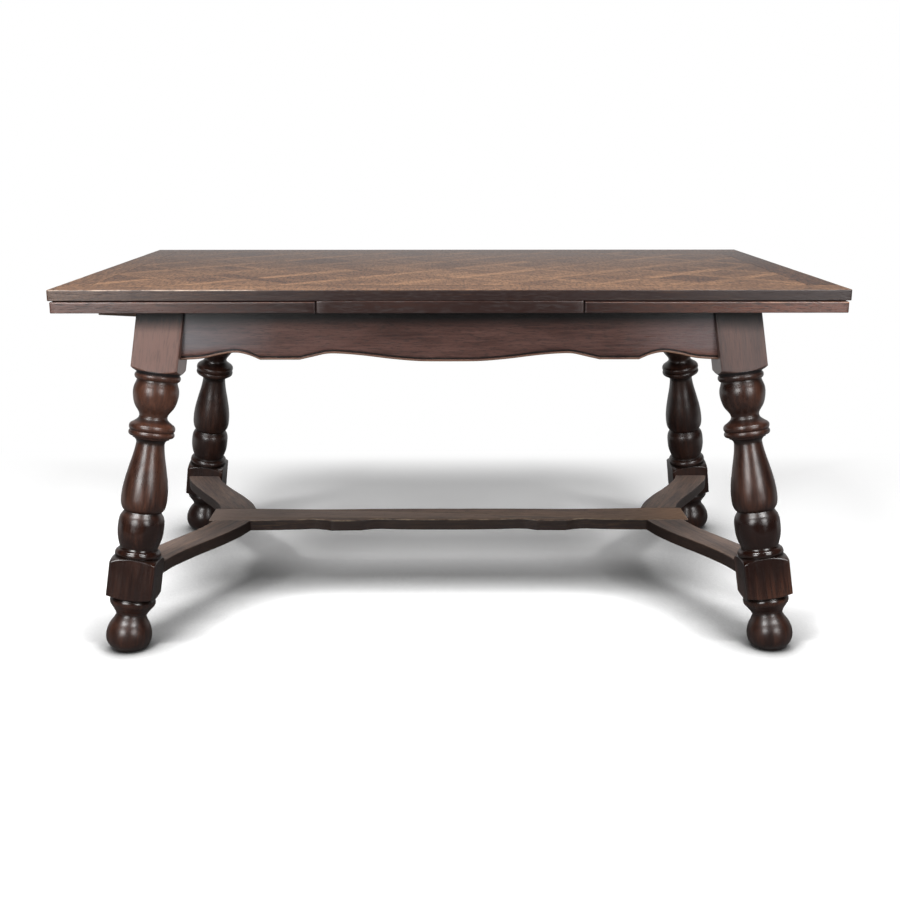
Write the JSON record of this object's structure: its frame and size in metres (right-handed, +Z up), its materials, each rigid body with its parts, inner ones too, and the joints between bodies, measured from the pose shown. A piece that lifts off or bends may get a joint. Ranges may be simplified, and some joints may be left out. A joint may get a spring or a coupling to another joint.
{
  "type": "extending dining table",
  "caption": "Oak draw-leaf dining table: parquet top, two leaves on tapered lopers, splayed turned legs and a flat double-Y stretcher.",
  "frame": {"origin": "on the floor under the middle of the table", "axes": "+X along the length towards the right leaf, +Y from the front apron to the back one, +Z up"},
  "size_m": [1.6, 1, 0.785],
  "materials": {
    "oak_parquet": "satin varnish",
    "oak_top": "satin varnish",
    "oak_frame": "gloss varnish",
    "oak_inside": "unpolished",
    "screw_steel": "plain"
  },
  "bodies": {
    "frame": {"apron_front": "oak_frame", "apron_back": "oak_frame", "end_rail_left": "oak_frame", "end_rail_right": "oak_frame", "guide_rail": "oak_inside", "guide_rail_dowels": "oak_inside", "centre_board": "oak_top", "centre_board_screws": "screw_steel", "leg_front_left": "oak_frame", "leg_front_right": "oak_frame", "leg_back_left": "oak_frame", "leg_back_right": "oak_frame", "stretcher_centre": "oak_frame", "stretcher_arm_front_left": "oak_frame", "stretcher_arm_front_right": "oak_frame", "stretcher_arm_back_left": "oak_frame", "stretcher_arm_back_right": "oak_frame", "stretcher_draw_pegs": "oak_frame", "stretcher_root_dowels": "oak_inside", "stretcher_leg_dowels": "oak_inside"},
    "left_leaf": {"leaf_left_panel": "oak_top", "leaf_left_border_front": "oak_top", "leaf_left_border_back": "oak_top", "leaf_left_border_outer": "oak_top", "leaf_left_border_inner": "oak_top", "loper_left_front": "oak_inside", "loper_left_back": "oak_inside", "loper_screws_left": "screw_steel", "loper_stop_pins_left": "oak_inside"},
    "right_leaf": {"leaf_right_panel": "oak_top", "leaf_right_border_front": "oak_top", "leaf_right_border_back": "oak_top", "leaf_right_border_outer": "oak_top", "leaf_right_border_inner": "oak_top", "loper_right_front": "oak_inside", "loper_right_back": "oak_inside", "loper_screws_right": "screw_steel", "loper_stop_pins_right": "oak_inside"},
    "loose_pegs": {"guide_pegs": "oak_inside"},
    "top": {"top_parquet_panel": "oak_parquet", "top_border_front": "oak_top", "top_border_back": "oak_top", "top_border_left": "oak_top", "top_border_right": "oak_top"}
  },
  "joints": [
    {"name": "left_leaf_draw", "type": "slide", "parent": "frame", "child": "left_leaf", "axis": [-0.9989, 0, 0.0458], "range_m": [0, 0.53456]},
    {"name": "right_leaf_draw", "type": "slide", "parent": "frame", "child": "right_leaf", "axis": [0.9989, 0, 0.0458], "range_m": [0, 0.53456]},
    {"name": "top_lift_left_end", "type": "hinge", "parent": "frame", "child": "loose_pegs", "pos_m": [0.8, 0, 0.763], "axis": [0, 1, 0], "range_deg": [0, 0.9311]},
    {"name": "top_lift_right_end", "type": "hinge", "parent": "loose_pegs", "child": "top", "pos_m": [-0.8, 0, 0.763], "axis": [0, -1, 0], "range_deg": [0, 0.9311]}
  ],
  "couplings": [
    {"joint": "top_lift_left_end", "follows": "left_leaf_draw", "rad_per_m": 0.030396},
    {"joint": "top_lift_right_end", "follows": "right_leaf_draw", "rad_per_m": 0.030396}
  ]
}
